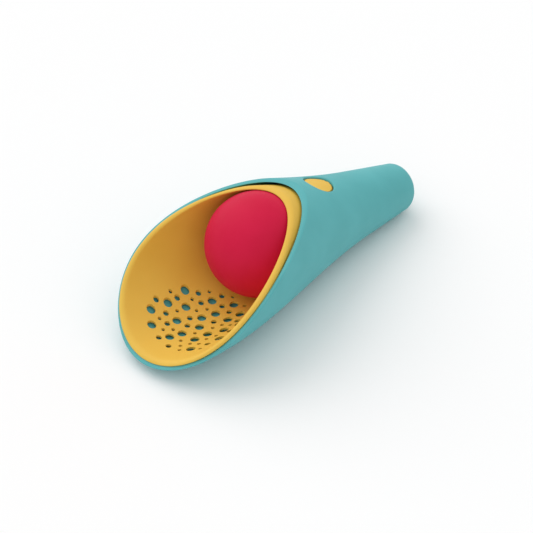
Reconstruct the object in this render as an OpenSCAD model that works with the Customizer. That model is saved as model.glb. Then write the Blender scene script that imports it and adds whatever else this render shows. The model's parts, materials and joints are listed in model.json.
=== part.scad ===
// Toy sand scoop with a lift-out sieve and a ball.
// Lengths are in millimetres. Places along the toy are measured along its axis from the handle's end,
// then the whole toy is laid down so that it rests on its handle's end and on its belly.

/* [Handle] */
// Radius of the handle where its domed end starts
handle_end_r = 15; // [13:0.5:17]
// Length of the domed end
dome_len = 9.2; // [6:0.2:12]
// Place where the straight handle turns into the flare
neck_at = 45; // [38:1:55]
// Radius where the flare starts
neck_r = 20.2; // [18.5:0.1:22]

/* [Bowl] */
// Place of the bowl's widest ring
belly_at = 192; // [182:1:196]
// Radius of the bowl's widest ring
belly_r = 47.8; // [45:0.1:51]
// Wall of the scoop
scoop_wall = 2.2; // [1.6:0.1:2.8]
// Depth of the flats under the belly and the handle's end, on which the toy lies still
rest_flat = 0.4; // [0.2:0.05:0.8]

/* [Mouth] */
// Place of the rim's back end, on top of the scoop
rim_back_at = 97; // [93:0.5:104]
// Place of the lip, at the bottom of the mouth
lip_at = 203.7; // [198:0.1:212]
// How far the scoop's rim stays back from the sieve's rim at the lip
rim_setback = 0.8; // [0.5:0.1:3]
// How far the scoop's rim stays back from the sieve's rim at its back end
rim_back_setback = 11.6; // [8:0.1:14]

/* [Window] */
// Place of the middle of the round window
window_at = 77.6; // [77:0.1:82]
// Radius of the window
window_r = 8.8; // [6:0.1:9]

/* [Sieve] */
// Wall of the sieve
sieve_wall = 2.4; // [2:0.1:3]
// Clearance between the sieve and the scoop where it lies nearest
sieve_gap = 0.35; // [0.3:0.05:0.8]
// How low the sieve lies in the scoop, by its slack in it
sieve_drop = 0.65; // [0.3:0.05:0.9]
// Place of the end of the sieve's tail
tail_at = 55; // [50:1:58]
// Length of the tail's domed end
tail_dome_len = 9; // [6:0.5:11]

/* [Holes] */
// Place where the field of holes starts
field_at = 130; // [127:0.5:133]
// Length of the field of holes
field_len = 60; // [56:1:62]
// Half of the angle that the field spans round the belly
field_half_angle = 40; // [36:1:42]
// Wall left round the holes, where the sieve is relieved on its outside
field_wall = 1.2; // [0.9:0.1:1.6]
// How far the relief reaches past the field of holes at either end
field_margin = 2.5; // [1.5:0.1:3]
// Breadth of the full wall that is kept along the rim
rim_band = 7; // [5:0.5:8]
// Diameter of the large holes
large_hole_d = 5.2; // [4:0.1:5.4]
// Diameter of the middle holes
mid_hole_d = 3.4; // [2.6:0.1:3.8]
// Diameter of the small holes
small_hole_d = 2.2; // [1.4:0.1:2.6]

/* [Ball] */
// Radius of the ball
ball_r = 30; // [28:0.5:31]
// Wall of the hollow ball
ball_wall = 3; // [2:0.1:5]
// Clearance between the ball and the sieve that it sits in
ball_gap = 0.3; // [0.2:0.05:0.6]

/* [Hidden] */
$fn = 96;

// One overrun serves all cuts
overrun = 5;
// Segments along the flare, under the relief, round a dome and along the rim,
// and the finer ones that seat the ball
flare_steps = 24;
relief_steps = 9;
dome_steps = 9;
rim_steps = 28;
seat_steps = 300;
seat_halvings = 24;

// Pulls of the flare's curve at its start and its end, as shares of its length
flare_pull_shares = [0.374, 0.34];
// Inner points of a rim's curve: shares of its length along the toy, and of its fall
scoop_rim_shares = [0.684, 0.772];
sieve_rim_shares = [0.628, 0.802];
rim_fall_shares = [1 / 3, 2 / 3];
// How far the relief reaches round the belly, as a share of the field's half angle
field_reach_share = 1.1;

// Holes in the belly: share of the field's length, share of its half angle on either side
large_hole_shares = [
    [0.36, -0.86], [0.58, -0.77], [0.77, -0.79], [0.45, -0.52], [0.20, -0.35], [0.86, -0.50],
    [0.62, -0.34], [0.41, -0.11], [0.28, -0.01], [0.08, 0.06], [0.81, -0.08], [0.69, -0.01],
    [0.51, 0.07], [0.27, 0.35], [0.54, 0.38], [0.67, 0.31], [0.15, 0.45], [0.42, 0.59],
    [0.82, 0.54], [0.30, 0.79], [0.57, 0.80]
];
mid_hole_shares = [
    [0.67, -0.93], [0.47, -0.78], [0.26, -0.67], [0.30, -0.44], [0.66, -0.59], [0.09, -0.33],
    [0.50, -0.25], [0.72, -0.38], [0.17, -0.09], [0.58, -0.12], [0.90, -0.18], [0.18, 0.17],
    [0.37, 0.16], [0.91, 0.12], [0.69, 0.72], [0.43, 0.79], [0.25, 0.60]
];
small_hole_shares = [
    [0.50, -0.96], [0.16, -0.58], [0.35, -0.61], [0.55, -0.53], [0.75, -0.55], [0.39, -0.33],
    [0.30, -0.23], [0.02, -0.15], [0.80, -0.30], [0.72, -0.20], [0.60, 0.15], [0.77, 0.14],
    [0.44, 0.30], [0.83, 0.27], [0.03, 0.29], [0.75, 0.36], [0.36, 0.39], [0.89, 0.38],
    [0.71, 0.52], [0.61, 0.51], [0.53, 0.61], [0.33, 0.57], [0.79, 0.74], [0.16, 0.69]
];

// A point of a cubic curve through the ends a and d with the pulls b and c, and its direction there
function curve(a, b, c, d, t) =
    pow(1 - t, 3) * a + 3 * t * pow(1 - t, 2) * b + 3 * t * t * (1 - t) * c + pow(t, 3) * d;
function curve_way(a, b, c, d, t) =
    let (way = pow(1 - t, 2) * (b - a) + 2 * t * (1 - t) * (c - b) + t * t * (d - c))
    way / norm(way);

// Outside of the scoop as [place, radius]: a dome, a straight taper, a flare and a straight mouth
taper = atan2(neck_r - handle_end_r, neck_at - dome_len);
flare_len = belly_at - neck_at;
flare_start = [neck_at, neck_r];
flare_lead = flare_start + flare_len * flare_pull_shares[0] * [1, tan(taper)];
flare_end = [belly_at, belly_r];
flare_trail = flare_end - flare_len * flare_pull_shares[1] * [1, 0];
mouth_end_at = lip_at + belly_r;

// The quarter ellipse of a domed end, from the axis out
function dome(tip_at, base_at, base_r) = [
    for (i = [0 : dome_steps - 1])
        [base_at - (base_at - tip_at) * cos(90 * i / dome_steps), base_r * sin(90 * i / dome_steps)]
];
// The flare and the mouth, at a depth below the outside
function flare(depth, steps) = concat(
    [for (i = [0 : steps])
        let (way = curve_way(flare_start, flare_lead, flare_trail, flare_end, i / steps))
        curve(flare_start, flare_lead, flare_trail, flare_end, i / steps) + depth * [way[1], -way[0]]],
    [[mouth_end_at, belly_r - depth]]
);
// The whole skin, at a depth below the outside
function skin(depth, steps) =
    let (base = [dome_len, handle_end_r] + depth * [sin(taper), -cos(taper)])
    concat(dome(depth, base[0], base[1]), [base], flare(depth, steps));
// The skin that starts with a dome of its own at a place on the axis
function skin_from(depth, tip_at, dome_long) =
    let (whole = skin(depth, flare_steps), base_at = tip_at + dome_long)
    concat(
        dome(tip_at, base_at, lookup(base_at, whole)),
        [[base_at, lookup(base_at, whole)]],
        [for (p = whole) if (p[0] > base_at) p]
    );

// Depths of the sieve's two skins below the scoop's outside
sieve_out_depth = scoop_wall + sieve_gap + sieve_drop;
sieve_in_depth = sieve_out_depth + sieve_wall;

// The ball rolls back until the sieve's inside is one clearance away
seat_skin = flare(sieve_in_depth, seat_steps);
function room_at(at) = min([for (p = seat_skin) norm(p - [at, 0])]) - ball_r - ball_gap;
function seat(low, high, left) =
    let (mid = (low + high) / 2)
    left == 0 ? mid : room_at(mid) > 0 ? seat(low, mid, left - 1) : seat(mid, high, left - 1);
ball_at = seat(neck_at, belly_at, seat_halvings);

// A rim in side view, [place, height above the axis], from its back end down to its lip
rim_top = lookup(rim_back_at, skin(0, flare_steps));
rim_fall = rim_top + belly_r;
// It runs on past both ends, and no sample falls on an end, where it would graze the skin
rim_over_steps = 4;
function rim_line(back_at, front_at, shares) =
    let (
        long = front_at - back_at,
        back = [back_at, rim_top],
        shoulder = back + [long * shares[0], -rim_fall * rim_fall_shares[0]],
        throat = back + [long * shares[1], -rim_fall * rim_fall_shares[1]],
        lip = back + [long, -rim_fall]
    )
    [for (i = [-rim_over_steps : rim_steps + rim_over_steps])
        curve(back, shoulder, throat, lip, (i + 0.5) / rim_steps)];
scoop_lip_at = lip_at - rim_setback;
sieve_back_at = rim_back_at + rim_back_setback;
scoop_rim = rim_line(rim_back_at, scoop_lip_at, scoop_rim_shares);
sieve_rim = rim_line(sieve_back_at, lip_at, sieve_rim_shares);
relief_rim = [for (i = [rim_steps / 2, len(sieve_rim) - 1]) sieve_rim[i] - [rim_band, 0]];

// The toy lies along the tangent from the handle's end to the belly, on flats cut parallel to it
outside = skin(0, flare_steps);
end_points = [for (p = outside) if (p[0] < neck_at) p];
bowl_points = [for (p = outside) if (p[0] >= neck_at && p[0] <= belly_at) p];
rest_tilt = min([for (e = end_points) max([for (b = bowl_points) atan2(b[1] - e[1], b[0] - e[0])])]);
floor_drop = min([for (p = outside) if (p[0] <= belly_at) p[0] * sin(rest_tilt) - p[1] * cos(rest_tilt)]);
// The ends in plan, so that the toy is centred lengthways
handle_reach = max([for (e = end_points) e[1] * sin(rest_tilt) - e[0] * cos(rest_tilt)]);
lip_reach = -scoop_lip_at * cos(rest_tilt) - belly_r * sin(rest_tilt);

module laid_down() {
    translate([-(handle_reach + lip_reach) / 2, 0, -floor_drop - rest_flat])
        rotate([0, rest_tilt - 90, 0])
            children();
}

// Everything below the floor, to be cut away
module floor_cut() {
    translate([-lip_at, -belly_r, -belly_r])
        cube([2 * lip_at, 2 * belly_r, belly_r]);
}

// A solid of revolution between the axis and a skin
module turned(points) {
    last = points[len(points) - 1];
    rotate_extrude()
        polygon([for (p = concat(points, [[last[0], 0]])) [p[1], p[0]]]);
}

// The sieve and the ball in it lie low in the scoop
module dropped() {
    translate([-sieve_drop, 0, 0])
        children();
}

// Everything above a rim, to be cut away
module mouth_cut(line) {
    end = line[len(line) - 1];
    front = max(mouth_end_at + overrun, end[0] + overrun);
    roof = max(line[0][1], belly_r) + overrun;
    rotate([0, -90, -90])
        linear_extrude(2 * (belly_r + overrun), center = true)
            polygon(concat(line, [[front, end[1]], [front, roof], [line[0][0], roof]]));
}

module window_cut() {
    translate([0, 0, window_at])
        rotate([0, 90, 0])
            cylinder(h = belly_r, r = window_r);
}

// The relief on the outside of the sieve round its holes, which stops short of the rim
module field_relief() {
    reach = field_half_angle * field_reach_share;
    side = 2 * belly_r;
    difference() {
        translate([0, 0, field_at - field_margin])
            linear_extrude(field_len + 2 * field_margin)
                polygon([
                    [0, 0],
                    side * [-cos(reach), -sin(reach)],
                    [-side, 0],
                    side * [-cos(reach), sin(reach)]
                ]);
        turned(skin(sieve_in_depth - field_wall, relief_steps));
        mouth_cut(relief_rim);
    }
}

// The holes all run straight down, the way that the pins of the mould pull out of them
module holes(shares, d) {
    inside = flare(sieve_in_depth, flare_steps);
    for (s = shares)
        let (at = field_at + field_len * s[0], angle = field_half_angle * s[1])
            translate([0, -lookup(at, inside) * sin(angle), at])
                rotate([0, -90, 0])
                    cylinder(h = belly_r, d = d);
}

module scoop() {
    color("#63a9ab")
        difference() {
            laid_down()
                difference() {
                    turned(skin(0, flare_steps));
                    turned(concat(
                        skin(scoop_wall, flare_steps),
                        [[mouth_end_at + overrun, belly_r - scoop_wall]]
                    ));
                    mouth_cut(scoop_rim);
                    window_cut();
                }
            floor_cut();
        }
}

module sieve() {
    color("#e8b850")
        laid_down()
            dropped()
                difference() {
                    turned(skin_from(sieve_out_depth, tail_at, tail_dome_len));
                    turned(concat(
                        skin_from(sieve_in_depth, tail_at + sieve_wall, tail_dome_len),
                        [[mouth_end_at + overrun, belly_r - sieve_in_depth]]
                    ));
                    mouth_cut(sieve_rim);
                    field_relief();
                    holes(large_hole_shares, large_hole_d);
                    holes(mid_hole_shares, mid_hole_d);
                    holes(small_hole_shares, small_hole_d);
                }
}

module ball() {
    color("#cc2240")
        laid_down()
            dropped()
                translate([0, 0, ball_at])
                    difference() {
                        sphere(ball_r);
                        sphere(ball_r - ball_wall);
                    }
}

scoop();
sieve();
ball();
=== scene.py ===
import json
import math

import bpy
import numpy as np
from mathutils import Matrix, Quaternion, Vector


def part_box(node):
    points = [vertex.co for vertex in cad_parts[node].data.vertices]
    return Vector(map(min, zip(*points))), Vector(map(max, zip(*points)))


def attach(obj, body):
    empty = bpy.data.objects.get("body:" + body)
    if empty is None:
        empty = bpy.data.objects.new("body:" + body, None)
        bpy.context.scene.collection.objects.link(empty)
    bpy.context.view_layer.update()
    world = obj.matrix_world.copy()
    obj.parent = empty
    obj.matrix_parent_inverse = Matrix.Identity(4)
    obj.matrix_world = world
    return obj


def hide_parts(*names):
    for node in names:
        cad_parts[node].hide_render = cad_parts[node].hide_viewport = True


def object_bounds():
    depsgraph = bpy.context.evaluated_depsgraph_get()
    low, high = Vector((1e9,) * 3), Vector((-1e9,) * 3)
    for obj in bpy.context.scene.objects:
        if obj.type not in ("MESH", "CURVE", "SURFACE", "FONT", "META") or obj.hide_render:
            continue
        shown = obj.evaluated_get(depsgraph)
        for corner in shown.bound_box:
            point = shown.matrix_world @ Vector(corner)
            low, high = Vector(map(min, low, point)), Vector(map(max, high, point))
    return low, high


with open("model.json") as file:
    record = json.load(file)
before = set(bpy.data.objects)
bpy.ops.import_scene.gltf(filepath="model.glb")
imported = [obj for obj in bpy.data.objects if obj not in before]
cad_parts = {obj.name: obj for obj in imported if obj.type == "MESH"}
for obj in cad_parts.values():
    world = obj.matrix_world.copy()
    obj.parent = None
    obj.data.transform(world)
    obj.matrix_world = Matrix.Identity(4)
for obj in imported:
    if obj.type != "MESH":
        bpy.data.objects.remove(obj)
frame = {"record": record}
cad_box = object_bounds()

# Scoop. The outer body of the toy: a flared bowl with an oblique mouth, drawn out into a hollow handle.
# It is one thin moulding in teal polypropylene with a soft rounded rim, and a round window in its neck
# lets the sieve inside be seen. Two shallow flats under it keep it from rolling.
handle_end_r = 15.0
dome_len = 9.2
neck_at = 45.0
neck_r = 20.2
belly_at = 192.0
belly_r = 47.8
scoop_wall = 2.2
flare_pulls = (0.374, 0.34)
rim_back_at = 97.0
lip_at = 202.9
rim_pulls = (0.684, 0.772)
rim_edge_lens = (1.4, 0.3)
window_at = 77.6
window_r = 8.8
window_edge_r = 1.3
window_inner_edge_r = 0.4
grip_at = 30.0

# Sizes are in millimetres. Places are along the toy's axis from the handle's end, then across, then above it.
metre = 1000.0
grip = next(m for m in frame["record"]["mounts"] if m["name"] == "handle_grip")
towards_mouth = -Vector(grip["axis"]).normalized()
across = Vector((0, 1, 0))
above = across.cross(towards_mouth)
axis_start = Vector(grip["pos_m"]) - towards_mouth * grip_at / metre


def in_frame(places):
    """Places on the toy's own line, in millimetres, as points of the shared frame in metres."""
    ways = np.array([towards_mouth, across, above])
    return np.array(axis_start) + np.asarray(places) @ ways / metre


def curve(a, b, c, d, t):
    """Points of a cubic curve from a to d with the pulls b and c."""
    t = np.asarray(t)[..., None]
    return (1 - t) ** 3 * a + 3 * t * (1 - t) ** 2 * b + 3 * t**2 * (1 - t) * c + t**3 * d


dome_steps = 40
flare_steps = 400


def dome(tip, base, base_r):
    """Quarter ellipse from the axis out to a base ring, without that ring."""
    bend = np.linspace(0, math.pi / 2, dome_steps, endpoint=False)
    return np.column_stack([base - (base - tip) * np.cos(bend), base_r * np.sin(bend)])


def skin(depth):
    """A skin at a depth below the toy's outside, as [place, radius] rows from its tip to past the mouth."""
    taper = (neck_r - handle_end_r) / (neck_at - dome_len)
    start = np.array([neck_at, neck_r])
    end = np.array([belly_at, belly_r])
    lead = start + (belly_at - neck_at) * flare_pulls[0] * np.array([1, taper])
    trail = end - (belly_at - neck_at) * flare_pulls[1] * np.array([1, 0])
    flare = curve(start, lead, trail, end, np.linspace(0, 1, flare_steps))
    way = np.gradient(flare, axis=0)
    way /= np.linalg.norm(way, axis=1)[:, None]
    flare = flare + depth * np.column_stack([way[:, 1], -way[:, 0]])
    lean = math.atan(taper)
    base = np.array([dome_len, handle_end_r]) + depth * np.array([math.sin(lean), -math.cos(lean)])
    mouth = [[lip_at + belly_r, belly_r - depth]]
    return np.vstack([dome(depth, base[0], base[1]), base, flare, mouth])


rim_top = np.interp(rim_back_at, *skin(0).T)


def rim_place(height, back_at, front_at, pulls):
    """Where a rim lies along the toy at a height above its axis, from its back end on top to its lip."""
    fall = (rim_top - height) / (rim_top + belly_r)
    ends = [[back_at + (front_at - back_at) * share] for share in (0, *pulls, 1)]
    return curve(*np.array(ends), fall)[..., 0]


# Points lie in columns round the toy, from its top, and near_lip goes from 0 there to 1 underneath.
columns = 240
rim_rows = 64
edge_rows = 12
run_steps = 6000
least_room = 0.1
turn = np.arange(columns) * 2 * math.pi / columns
near_lip = (1 - np.cos(turn)) / 2


def shell(outer, inner, rim, edge_lens, even_to, row_step):
    """A turned wall between two skins, cut along the rim, with a rounded edge there.

    Returns its points as a grid of rows by columns, the two end points, and the number of rows on each skin.
    Rows are even up to a place behind the rim and are stretched from there to it."""
    sides = []
    for line, edge_len in zip((outer, inner), edge_lens):
        run = np.concatenate([[0], np.cumsum(np.linalg.norm(np.diff(line, axis=0), axis=1))])
        fine = np.linspace(0, run[-1], run_steps)
        place, radius = (np.interp(fine, run, line[:, k]) for k in (0, 1))
        past = place[:, None] > rim_place(radius[:, None] * np.cos(turn), *rim)
        rim_run = fine[np.argmax(past, axis=0)]
        split = np.interp(even_to, line[:, 0], run)
        rows = round(split / row_step)
        even = np.arange(1, rows + 1)[:, None] * split / rows * np.ones(columns)
        share = (np.arange(1, rim_rows + 1) / rim_rows)[:, None]
        stop = np.maximum(rim_run - edge_len, split + least_room)
        runs = np.vstack([even, split + share * (stop - split), rim_run])
        grid_r = np.interp(runs, run, line[:, 1])
        grid_place = np.interp(runs, run, line[:, 0])
        sides.append(np.stack([grid_place, grid_r * np.sin(turn), grid_r * np.cos(turn)], axis=-1))
    (out, out_corner), (back, back_corner) = ((g[:-1], g[-1]) for g in sides)
    # Pulls a third past the corners bring the middle of the rounded edge out to the line between them.
    reach = 4 / 3
    lead = out[-1] + reach * (out_corner - out[-1])
    trail = back[-1] + reach * (back_corner - back[-1])
    bend = np.linspace(0, 1, edge_rows + 2)[1:-1]
    edge = np.stack([curve(out[-1], lead, trail, back[-1], np.full(columns, t)) for t in bend])
    tips = [[line[0, 0], 0, 0] for line in (outer, inner)]
    return np.concatenate([out, edge, back[::-1]]), tips, (len(out), len(back))


def shell_faces(rows):
    """Four-sided faces of such a grid, and a fan at either end, whose points follow the grid's."""
    faces = []
    for r in range(rows - 1):
        for c in range(columns):
            right = (c + 1) % columns
            corner = r * columns
            faces.append((corner + right, corner + columns + right, corner + columns + c, corner + c))
    first, last = rows * columns, rows * columns + 1
    for c in range(columns):
        right = (c + 1) % columns
        faces.append((right, c, first))
        faces.append(((rows - 1) * columns + c, (rows - 1) * columns + right, last))
    return faces


def plain_mesh(name, places, faces):
    """A smooth mesh from places on the toy's own line, as an object at the origin."""
    mesh = bpy.data.meshes.new(name)
    mesh.from_pydata(in_frame(places).tolist(), [], faces)
    mesh.polygons.foreach_set("use_smooth", [True] * len(mesh.polygons))
    piece = bpy.data.objects.new(name, mesh)
    bpy.context.scene.collection.objects.link(piece)
    return piece


scoop_even_to = 93.0
scoop_row_step = 1.5
scoop_out = skin(0)
scoop_in = skin(scoop_wall)
scoop_rim = (rim_back_at, lip_at, rim_pulls)
grid, tips, (out_rows, in_rows) = shell(
    scoop_out, scoop_in, scoop_rim, rim_edge_lens, scoop_even_to, scoop_row_step
)
rows = len(grid)
places = [*grid.reshape(-1, 3), *tips]
faces = shell_faces(rows)

# The window's patch of the grid gives way to rings that run from its border to the window's rounded edge.
patch_at = 64.0
patch_rows = 18
patch_columns = 20
flat_rings = 7
outer_edge_rings = 6
inner_edge_rings = 3
first_out = int(np.searchsorted(grid[:out_rows, 0, 0], patch_at))
first_in = rows - 1 - int(np.searchsorted(grid[::-1][:in_rows, 0, 0], patch_at))
removed = set()
borders = []
for first, way in ((first_out, 1), (first_in, -1)):
    side = [first + way * k for k in range(patch_rows + 1)]
    span = list(range(-patch_columns, patch_columns + 1))
    loop = [(side[0], c) for c in span] + [(r, span[-1]) for r in side[1:]]
    loop += [(side[-1], c) for c in span[-2::-1]] + [(r, span[0]) for r in side[-2:0:-1]]
    borders.append([r * columns + c % columns for r, c in loop])
    low = min(side)
    removed |= {(low + k) * columns + c % columns for k in range(patch_rows) for c in span[:-1]}
faces = [f for n, f in enumerate(faces) if n not in removed]
plans = [np.array([places[i][:2] for i in border]) for border in borders]
outward = plans[0] - [window_at, 0]
outward /= np.linalg.norm(outward, axis=1)[:, None]
outline = [window_at, 0] + window_r * outward


def on_skin(line, plan):
    """The top of a skin over points in plan."""
    radius = np.interp(plan[:, 0], line[:, 0], line[:, 1])
    return np.column_stack([plan, np.sqrt(radius**2 - plan[:, 1] ** 2)])


def window_rings(line, plan, edge_r, fold, edge_rings):
    """Rings on one skin from a patch's border to the window, the last of them folded into the wall."""
    rings = []
    for share in np.linspace(0, 1, flat_rings + 1)[1:]:
        rings.append(on_skin(line, plan + share * (outline + edge_r * outward - plan)))
    for bend in np.linspace(0, math.pi / 2, edge_rings + 1)[1:]:
        ring = on_skin(line, outline + edge_r * (1 - math.sin(bend)) * outward)
        ring[:, 2] += fold * edge_r * (1 - math.cos(bend))
        rings.append(ring)
    return rings


rings = window_rings(scoop_out, plans[0], window_edge_r, -1, outer_edge_rings)
rings += window_rings(scoop_in, plans[1], window_inner_edge_r, 1, inner_edge_rings)[::-1]
loops = [borders[0]]
for ring in rings:
    loops.append(list(range(len(places), len(places) + len(ring))))
    places += list(ring)
loops.append(borders[1])
for near, far in zip(loops, loops[1:]):
    for k in range(len(near)):
        right = (k + 1) % len(near)
        faces.append((near[right], far[right], far[k], near[k]))

# The flats are where the round shell would reach below the floor that the toy lies on.
scoop = plain_mesh("scoop_shell", np.array(places), faces)
floor_z = cad_box[0].z
for vertex in scoop.data.vertices:
    vertex.co.z = max(vertex.co.z, floor_z)


def linear(code):
    """An sRGB hex colour as linear values."""
    parts = [int(code[k : k + 2], 16) / 255 for k in (1, 3, 5)]
    return tuple(p / 12.92 if p <= 0.04045 else ((p + 0.055) / 1.055) ** 2.4 for p in parts)


def add(tree, kind, inputs=None, **settings):
    """Adds a node with its settings; each input takes a value or another node's output."""
    made = tree.nodes.new(kind)
    for name, value in settings.items():
        setattr(made, name, value)
    for socket, value in (inputs or {}).items():
        if isinstance(value, bpy.types.NodeSocket):
            tree.links.new(value, made.inputs[socket])
        else:
            made.inputs[socket].default_value = value
    return made


def moulded(name, deep, pale, finish):
    """A moulded material: its pigment clouds from deep to pale, and its mould leaves haze and grain."""
    material = bpy.data.materials.new(name)
    material.use_nodes = True
    tree = material.node_tree
    tree.nodes.clear()
    where = add(tree, "ShaderNodeTexCoord").outputs["Object"]
    patterns = {}
    for pattern in ("cloud", "haze", "grain"):
        size, detail = finish[pattern]
        noise = add(tree, "ShaderNodeTexNoise", {"Vector": where, "Scale": metre / size, "Detail": detail})
        patterns[pattern] = noise.outputs["Fac"]
    tint = add(tree, "ShaderNodeValToRGB", {"Fac": patterns["cloud"]})
    for stop, place, code in zip(tint.color_ramp.elements, finish["cloud ends"], (deep, pale)):
        stop.position = place
        stop.color = (*linear(code), 1)
    least, most = finish["roughness"]
    dull = add(tree, "ShaderNodeMapRange", {"Value": patterns["haze"], "To Min": least, "To Max": most})
    strength, depth = finish["relief"]
    bump = add(
        tree,
        "ShaderNodeBump",
        {"Height": patterns["grain"], "Strength": strength, "Distance": depth / metre},
    )
    shader = add(
        tree,
        "ShaderNodeBsdfPrincipled",
        {
            "Base Color": tint.outputs["Color"],
            "Roughness": dull.outputs["Result"],
            "Normal": bump.outputs["Normal"],
            "IOR": finish["IOR"],
            "Specular IOR Level": finish["specular"],
        },
    )
    add(tree, "ShaderNodeOutputMaterial", {"Surface": shader.outputs["BSDF"]})
    return material


# Polypropylene from a finely spark-eroded mould: a dull, even satin with a slight cloudiness of the pigment
# and a fine grain that breaks up its highlights. The grain is drawn coarser than it is, to show.
# A pattern is its size and the detail of its noise. Relief is the grain's strength and depth.
spark_eroded_polypropylene = {
    "cloud": (22.0, 2.0),
    "haze": (5.0, 3.0),
    "grain": (0.5, 1.0),
    "cloud ends": (0.3, 0.7),
    "roughness": (0.52, 0.64),
    "relief": (0.12, 0.04),
    "IOR": 1.49,
    "specular": 0.3,
}
scoop.data.materials.append(
    moulded("teal_moulded_polypropylene", "#58adb0", "#5eb4b7", spark_eroded_polypropylene)
)
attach(scoop, "scoop")
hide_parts("scoop")

# Sieve. A second bowl of the same flare that nests in the scoop and slides out of its mouth. It is moulded
# in yellow polypropylene, thicker than the scoop, with a domed tail that runs back under the window.
# Its belly has a scatter of round holes in three sizes, all straight down as the mould's pins left them.
sieve_wall = 2.4
sieve_gap = 0.35
sieve_drop = 0.65
sieve_out_depth = scoop_wall + sieve_gap + sieve_drop
sieve_in_depth = sieve_out_depth + sieve_wall
tail_at = 55.0
tail_dome_len = 9.0
sieve_rim_back_at = 108.6
sieve_lip_at = 203.7
sieve_rim_pulls = (0.628, 0.802)
sieve_even_to = 98.0
sieve_row_step = 0.75
field_at = 130.0
field_len = 60.0
field_half_angle = 40.0


def tailed_skin(depth, tip):
    """A skin that starts with a dome of its own at a place on the axis."""
    whole = skin(depth)
    base = tip + tail_dome_len
    base_r = np.interp(base, *whole.T)
    return np.vstack([dome(tip, base, base_r), [base, base_r], whole[whole[:, 0] > base]])


# The rim is rounded most along its sides outside, where it stands proud of the scoop, and at the lip inside.
outer_round_back = 1.8
outer_round_lip = 0.5
outer_round_sides = 6.0
inner_round_back = 1.2
inner_round_lip = 3.0
outer_round = outer_round_back + (outer_round_lip - outer_round_back) * near_lip
outer_round = outer_round + outer_round_sides * near_lip * (1 - near_lip)
inner_round = inner_round_back + (inner_round_lip - inner_round_back) * near_lip
sieve_out = tailed_skin(sieve_out_depth, tail_at)
sieve_in = tailed_skin(sieve_in_depth, tail_at + sieve_wall)
sieve_rim = (sieve_rim_back_at, sieve_lip_at, sieve_rim_pulls)
grid, tips, (out_rows, _) = shell(
    sieve_out, sieve_in, sieve_rim, (outer_round, inner_round), sieve_even_to, sieve_row_step
)


def ramp(value, start, width):
    """Rises smoothly from 0 at a start to 1 at a width past it."""
    share = np.clip((value - start) / width, 0, 1)
    return share**2 * (3 - 2 * share)


around = grid[: out_rows + edge_rows]
place, side, height = (around[..., k] for k in range(3))
radius = np.hypot(side, height)
past_rim = place - rim_place(height, *sieve_rim)

# The wall is thinned from outside round the holes, by a relief with sloping borders.
field_wall = 1.2
field_margin = 2.5
field_slope = 2.0
field_side_margin = 1.5
field_side_slope = 2.5
rim_band = 7.0
off_belly = np.degrees(np.abs(np.arctan2(side, -height)))
relief = ramp(place, field_at - field_margin, field_slope)
relief *= 1 - ramp(place, field_at + field_len + field_margin - field_slope, field_slope)
relief *= 1 - ramp(off_belly, field_half_angle + field_side_margin, field_side_slope)
relief *= 1 - ramp(past_rim, -rim_band - field_slope, field_slope)

# A low pad stands up into the scoop's window and fills it but for a fine gap.
pad_height = 2.7
pad_gap = 0.15
pad_skirt = 0.5
from_window = np.hypot(place - window_at, side * (1 + pad_height / radius))
pad = (height > 0) * (1 - ramp(from_window, window_r - pad_gap - pad_skirt, pad_skirt))

# A slight bead along the rim takes up the slack to the scoop, save at the back.
bead_gap = 0.15
bead_len = 8.0
bead_slope = 3.0
bead_from = 0.2
bead_grows_over = 0.3
slack = sieve_gap + sieve_drop * (1 + np.cos(turn)) - bead_gap
bead = slack * ramp(near_lip, bead_from, bead_grows_over) * ramp(past_rim, -bead_len, bead_slope)
bead *= 1 - ramp(np.arange(len(around)), out_rows, edge_rows)[:, None]

swell = 1 + (pad_height * pad + bead - (sieve_wall - field_wall) * relief) / radius
around[..., 1] *= swell
around[..., 2] *= swell
places = np.array([*grid.reshape(-1, 3), *tips])
places[:, 2] -= sieve_drop
sieve = plain_mesh("sieve_bowl", places, shell_faces(len(grid)))

# Each hole: share of the field's length, share of its half angle to either side. Sizes are diameters.
hole_shares = {
    5.2: [
        (0.36, -0.86), (0.58, -0.77), (0.77, -0.79), (0.45, -0.52), (0.20, -0.35), (0.86, -0.50),
        (0.62, -0.34), (0.41, -0.11), (0.28, -0.01), (0.08, 0.06), (0.81, -0.08), (0.69, -0.01),
        (0.51, 0.07), (0.27, 0.35), (0.54, 0.38), (0.67, 0.31), (0.15, 0.45), (0.42, 0.59),
        (0.82, 0.54), (0.30, 0.79), (0.57, 0.80),
    ],
    3.4: [
        (0.67, -0.93), (0.47, -0.78), (0.26, -0.67), (0.30, -0.44), (0.66, -0.59), (0.09, -0.33),
        (0.50, -0.25), (0.72, -0.38), (0.17, -0.09), (0.58, -0.12), (0.90, -0.18), (0.18, 0.17),
        (0.37, 0.16), (0.91, 0.12), (0.69, 0.72), (0.43, 0.79), (0.25, 0.60),
    ],
    2.2: [
        (0.50, -0.96), (0.16, -0.58), (0.35, -0.61), (0.55, -0.53), (0.75, -0.55), (0.39, -0.33),
        (0.30, -0.23), (0.02, -0.15), (0.80, -0.30), (0.72, -0.20), (0.60, 0.15), (0.77, 0.14),
        (0.44, 0.30), (0.83, 0.27), (0.03, 0.29), (0.75, 0.36), (0.36, 0.39), (0.89, 0.38),
        (0.71, 0.52), (0.61, 0.51), (0.53, 0.61), (0.33, 0.57), (0.79, 0.74), (0.16, 0.69),
    ],
}
hole_rows = [(*share, width) for width, shares in hole_shares.items() for share in shares]
hole_table = bpy.data.objects.new("hole_table", bpy.data.meshes.new("hole_table"))
hole_table.data.from_pydata(hole_rows, [], [])

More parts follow.
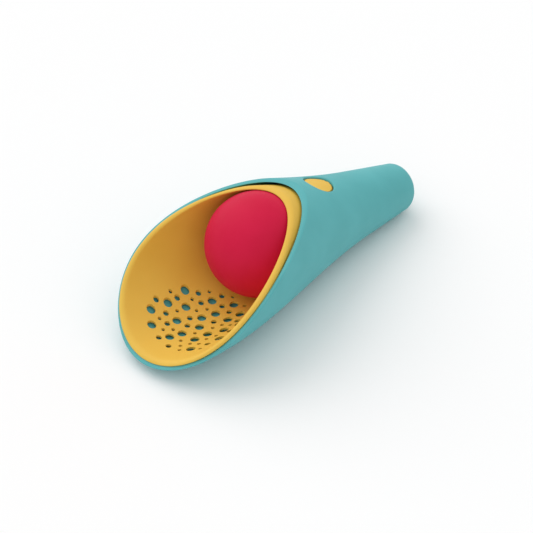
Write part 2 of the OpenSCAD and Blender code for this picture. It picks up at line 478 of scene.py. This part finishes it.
# The pin that leaves a hole, in shares of the hole's radius: it starts above the bowl's inside, ends past the
# wall and tapers a little, so that it draws out.
pin_sides = 40
pin_start = -1.4
pin_end = 5.0
pin_end_r = 0.97
pin_points = [
    (r * math.cos(2 * math.pi * k / pin_sides), r * math.sin(2 * math.pi * k / pin_sides), h)
    for r, h in ((1.0, pin_start), (pin_end_r, pin_end))
    for k in range(pin_sides)
]
pin_faces = []
for k in range(pin_sides):
    right = (k + 1) % pin_sides
    pin_faces.append((k, right, pin_sides + right, pin_sides + k))
pin_faces.append(tuple(range(pin_sides))[::-1])
pin_faces.append(tuple(range(pin_sides, 2 * pin_sides)))
hole_pin = bpy.data.objects.new("hole_pin", bpy.data.meshes.new("hole_pin"))
hole_pin.data.from_pydata(pin_points, [], pin_faces)
for helper in (hole_table, hole_pin):
    bpy.context.scene.collection.objects.link(helper)


def form_tree(name, start, kinds):
    """A Geometry Nodes tree with a starting geometry and named inputs."""
    tree = bpy.data.node_groups.new(name, "GeometryNodeTree")
    tree.interface.new_socket("Geometry", in_out="OUTPUT", socket_type="NodeSocketGeometry")
    tree.interface.new_socket(start, in_out="INPUT", socket_type="NodeSocketGeometry")
    for socket, kind in kinds.items():
        tree.interface.new_socket(socket, in_out="INPUT", socket_type=kind)
    return tree


def give_form(piece, tree, values):
    """Makes a piece the plain mesh that a tree forms from it, with the tree's inputs set to the values."""
    forming = piece.modifiers.new("forming", "NODES")
    forming.node_group = tree
    for socket in tree.interface.items_tree:
        if socket.name in values:
            forming[socket.identifier] = values[socket.name]
    depsgraph = bpy.context.evaluated_depsgraph_get()
    formed = bpy.data.meshes.new_from_object(piece.evaluated_get(depsgraph), depsgraph=depsgraph)
    piece.modifiers.remove(forming)
    piece.data = formed


tree = form_tree(
    "scattered_holes",
    "Bowl",
    {
        "Hole table": "NodeSocketObject",
        "Hole pin": "NodeSocketObject",
        "Axis start": "NodeSocketVector",
        "Towards mouth": "NodeSocketVector",
        "Above": "NodeSocketVector",
        "Field start": "NodeSocketFloat",
        "Field length": "NodeSocketFloat",
        "Half angle": "NodeSocketFloat",
        "Material": "NodeSocketMaterial",
    },
)
given = add(tree, "NodeGroupInput").outputs
rows_in = add(tree, "GeometryNodeObjectInfo", {"Object": given["Hole table"]}).outputs["Geometry"]
pin_in = add(tree, "GeometryNodeObjectInfo", {"Object": given["Hole pin"]}).outputs["Geometry"]
row = add(tree, "GeometryNodeInputPosition").outputs["Position"]
part = add(tree, "ShaderNodeSeparateXYZ", {"Vector": row}).outputs
along = add(
    tree,
    "ShaderNodeMath",
    {0: part["X"], 1: given["Field length"], 2: given["Field start"]},
    operation="MULTIPLY_ADD",
).outputs["Value"]
middle_of_row = add(
    tree,
    "ShaderNodeVectorMath",
    {0: given["Towards mouth"], 1: along, 2: given["Axis start"]},
    operation="MULTIPLY_ADD",
).outputs["Vector"]
swing = add(
    tree, "ShaderNodeMath", {0: part["Y"], 1: given["Half angle"]}, operation="MULTIPLY"
).outputs["Value"]
down = add(
    tree, "ShaderNodeVectorMath", {0: given["Above"], "Scale": -1.0}, operation="SCALE"
).outputs["Vector"]
outwards = add(
    tree,
    "ShaderNodeVectorRotate",
    {"Vector": down, "Axis": given["Towards mouth"], "Angle": swing},
    rotation_type="AXIS_ANGLE",
).outputs["Vector"]
hit = add(
    tree,
    "GeometryNodeRaycast",
    {"Target Geometry": given["Bowl"], "Source Position": middle_of_row, "Ray Direction": outwards},
).outputs
spots = add(tree, "GeometryNodeMeshToPoints", {"Mesh": rows_in}).outputs["Points"]
half_width = add(
    tree, "ShaderNodeMath", {0: part["Z"], 1: 0.5 / metre}, operation="MULTIPLY"
).outputs["Value"]
kept = add(tree, "GeometryNodeCaptureAttribute", {"Geometry": spots})
kept.capture_items.new("FLOAT", "Radius")
kept.capture_items.new("VECTOR", "Surface")
tree.links.new(half_width, kept.inputs["Radius"])
tree.links.new(hit["Hit Position"], kept.inputs["Surface"])
placed = add(
    tree,
    "GeometryNodeSetPosition",
    {"Geometry": kept.outputs["Geometry"], "Position": kept.outputs["Surface"]},
).outputs["Geometry"]
stand = add(
    tree, "FunctionNodeAlignRotationToVector", {"Vector": down}, axis="Z"
).outputs["Rotation"]
pins = add(
    tree,
    "GeometryNodeInstanceOnPoints",
    {"Points": placed, "Instance": pin_in, "Rotation": stand, "Scale": kept.outputs["Radius"]},
).outputs["Instances"]
pins = add(tree, "GeometryNodeRealizeInstances", {"Geometry": pins}).outputs["Geometry"]
drilled = add(
    tree,
    "GeometryNodeMeshBoolean",
    {0: given["Bowl"], 1: pins},
    operation="DIFFERENCE",
    solver="MANIFOLD",
).outputs["Mesh"]
whole = add(tree, "GeometryNodeRealizeInstances", {"Geometry": drilled}).outputs["Geometry"]
dressed = add(tree, "GeometryNodeSetMaterial", {"Geometry": whole, "Material": given["Material"]})
add(tree, "NodeGroupOutput", {"Geometry": dressed.outputs["Geometry"]})

give_form(
    sieve,
    tree,
    {
        "Hole table": hole_table,
        "Hole pin": hole_pin,
        "Axis start": tuple(axis_start - above * sieve_drop / metre),
        "Towards mouth": tuple(towards_mouth),
        "Above": tuple(above),
        "Field start": field_at / metre,
        "Field length": field_len / metre,
        "Half angle": math.radians(field_half_angle),
        "Material": moulded(
            "yellow_moulded_polypropylene", "#e7ba4a", "#ebc050", spark_eroded_polypropylene
        ),
    },
)
crease_angle = 32.0
sieve.data.polygons.foreach_set("use_smooth", [True] * len(sieve.data.polygons))
sieve.data.set_sharp_from_angle(angle=math.radians(crease_angle))
for helper in (hole_table, hole_pin):
    bpy.data.objects.remove(helper)
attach(sieve, "sieve")
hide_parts("sieve")

# Ball. A hollow ball of soft red rubber, loose in the throat of the sieve. It is moulded in two halves,
# which leave a hair-fine line round it, and has a matte skin that goes pinker where the light grazes it.
ball_low, ball_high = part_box("ball")
ball_middle = (ball_low + ball_high) / 2
ball_r = (ball_high.x - ball_low.x) / 2
ball_segments = 160
ball_rings = 120
mould_line_way = (0.5, 0.3, -0.8)
mould_line_width = 0.25
mould_line_height = 0.05

tree = form_tree(
    "moulded_ball",
    "Start",
    {
        "Middle": "NodeSocketVector",
        "Radius": "NodeSocketFloat",
        "Line way": "NodeSocketVector",
        "Line width": "NodeSocketFloat",
        "Line height": "NodeSocketFloat",
        "Material": "NodeSocketMaterial",
    },
)
given = add(tree, "NodeGroupInput").outputs
sphere = add(
    tree,
    "GeometryNodeMeshUVSphere",
    {"Segments": ball_segments, "Rings": ball_rings, "Radius": given["Radius"]},
).outputs["Mesh"]
spot = add(tree, "GeometryNodeInputPosition").outputs["Position"]
stand = add(
    tree, "FunctionNodeAlignRotationToVector", {"Vector": given["Line way"]}, axis="Z"
).outputs["Rotation"]
height = add(tree, "ShaderNodeSeparateXYZ", {"Vector": spot}).outputs["Z"]
share = add(tree, "ShaderNodeMath", {0: height, 1: given["Line width"]}, operation="DIVIDE").outputs["Value"]
square = add(tree, "ShaderNodeMath", {0: share, 1: share}, operation="MULTIPLY").outputs["Value"]
less = add(tree, "ShaderNodeMath", {0: square, 1: -1.0}, operation="MULTIPLY").outputs["Value"]
swell = add(tree, "ShaderNodeMath", {0: less}, operation="EXPONENT").outputs["Value"]
lift = add(
    tree, "ShaderNodeMath", {0: swell, 1: given["Line height"]}, operation="MULTIPLY"
).outputs["Value"]
facing = add(tree, "ShaderNodeVectorMath", {0: spot}, operation="NORMALIZE").outputs["Vector"]
offset = add(
    tree, "ShaderNodeVectorMath", {0: facing, "Scale": lift}, operation="SCALE"
).outputs["Vector"]
seamed = add(tree, "GeometryNodeSetPosition", {"Geometry": sphere, "Offset": offset}).outputs["Geometry"]
stood = add(
    tree,
    "GeometryNodeTransform",
    {"Geometry": seamed, "Translation": given["Middle"], "Rotation": stand},
).outputs["Geometry"]
smooth = add(tree, "GeometryNodeSetShadeSmooth", {"Geometry": stood}).outputs["Geometry"]
whole = add(tree, "GeometryNodeRealizeInstances", {"Geometry": smooth}).outputs["Geometry"]
dressed = add(tree, "GeometryNodeSetMaterial", {"Geometry": whole, "Material": given["Material"]})
add(tree, "NodeGroupOutput", {"Geometry": dressed.outputs["Geometry"]})

# Soft vinyl rubber from a blasted mould: dull, with faint clouds of pigment that are dullest where pale,
# and a fine even grain. The grain is drawn coarser than it is, to show.
blasted_rubber = {
    "cloud": (18.0, 2.0),
    "haze": (18.0, 2.0),
    "grain": (0.6, 2.0),
    "cloud ends": (0.3, 0.7),
    "roughness": (0.5, 0.62),
    "relief": (0.15, 0.05),
    "IOR": 1.5,
    "specular": 0.14,
}
ball = bpy.data.objects.new("rubber_ball", bpy.data.meshes.new("rubber_ball"))
bpy.context.scene.collection.objects.link(ball)
give_form(
    ball,
    tree,
    {
        "Middle": tuple(ball_middle),
        "Radius": ball_r,
        "Line way": mould_line_way,
        "Line width": mould_line_width / metre,
        "Line height": mould_line_height / metre,
        "Material": moulded("red_moulded_rubber", "#ce143e", "#d41944", blasted_rubber),
    },
)
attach(ball, "ball")
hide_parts("ball")

# Floor. A wide sheet of matt white board under the toy, which takes its soft shadow.
# It lies loose, a hair below the toy's flats.
floor_half = 4000.0
floor_gap = 0.05
floor_corners = [
    (x * floor_half / metre, y * floor_half / metre, floor_z - floor_gap / metre)
    for x, y in ((-1, -1), (1, -1), (1, 1), (-1, 1))
]
floor_mesh = bpy.data.meshes.new("floor")
floor_mesh.from_pydata(floor_corners, [], [(0, 1, 2, 3)])
floor = bpy.data.objects.new("floor", floor_mesh)
bpy.context.scene.collection.objects.link(floor)
# Matt board scatters what light it gets evenly, with no shine.
board = bpy.data.materials.new("matt_white_board")
board.use_nodes = True
board.node_tree.nodes.clear()
board_shader = add(board.node_tree, "ShaderNodeBsdfDiffuse", {"Color": (*linear("#fbfbfb"), 1)})
add(board.node_tree, "ShaderNodeOutputMaterial", {"Surface": board_shader.outputs["BSDF"]})
floor_mesh.materials.append(board)

# Studio light. A white room lights the toy from all round, most from its ceiling, and one broad lamp behind
# the toy gives the shadow. To the eye, and in reflections, the room is plain white.
wall_level = 0.5
ceiling_level = 1.0
seen_level = 1.0
lamp_level = 0.2
lamp_lean = (-0.04, 1.0, 1.0)
lamp_spread = 60.0
world = bpy.data.worlds.new("white_room")
world.use_nodes = True
tree = world.node_tree
tree.nodes.clear()
towards = add(tree, "ShaderNodeTexCoord").outputs["Generated"]
upwards = add(tree, "ShaderNodeSeparateXYZ", {"Vector": towards}).outputs["Z"]
lighting = add(
    tree, "ShaderNodeMapRange", {"Value": upwards, "To Min": wall_level, "To Max": ceiling_level}
).outputs["Result"]
path = add(tree, "ShaderNodeLightPath").outputs
seen = add(
    tree, "ShaderNodeMath", {0: path["Is Camera Ray"], 1: path["Is Glossy Ray"]}, operation="MAXIMUM"
).outputs["Value"]
seen = add(
    tree, "ShaderNodeMath", {0: seen, 1: path["Is Transmission Ray"]}, operation="MAXIMUM"
).outputs["Value"]
level = add(
    tree, "ShaderNodeMapRange", {"Value": seen, "To Min": lighting, "To Max": seen_level}
).outputs["Result"]
room = add(tree, "ShaderNodeBackground", {"Color": (1, 1, 1, 1), "Strength": level})
add(tree, "ShaderNodeOutputWorld", {"Surface": room.outputs["Background"]})
bpy.context.scene.world = world
# A lamp of energy pi, straight above, would light white board to a level of 1.
lamp_way = Vector(lamp_lean).normalized()
lamp = bpy.data.lights.new("broad_lamp", "SUN")
lamp.energy = lamp_level * math.pi / lamp_way.z
lamp.angle = math.radians(lamp_spread)
lamp_object = bpy.data.objects.new("broad_lamp", lamp)
lamp_object.rotation_euler = lamp_way.to_track_quat("Z", "Y").to_euler()
bpy.context.scene.collection.objects.link(lamp_object)

# Camera. It stands above and in front of the toy on its mouth's side, and looks down at it as the
# photograph does, rolled by a little. Its place is in metres, and its lens follows from a focal length in
# pixels of the photograph.
picture_side = 533
focal_pixels = 1800
camera_place = (-0.5269, -0.5664, 0.6824)
camera_way = (0.5099, 0.5570, -0.6556)
camera_roll = -1.42
camera_nearest = 0.05
camera = bpy.data.objects.new("camera", bpy.data.cameras.new("camera"))
camera.data.lens = camera.data.sensor_width * focal_pixels / picture_side
camera.data.clip_start = camera_nearest
camera.location = camera_place
camera_aim = Vector(camera_way).to_track_quat("-Z", "Y")
camera_turn = camera_aim @ Quaternion((0, 0, 1), math.radians(camera_roll))
camera.rotation_euler = camera_turn.to_euler()
bpy.context.scene.collection.objects.link(camera)
bpy.context.scene.camera = camera
bpy.context.scene.view_settings.view_transform = "Standard"
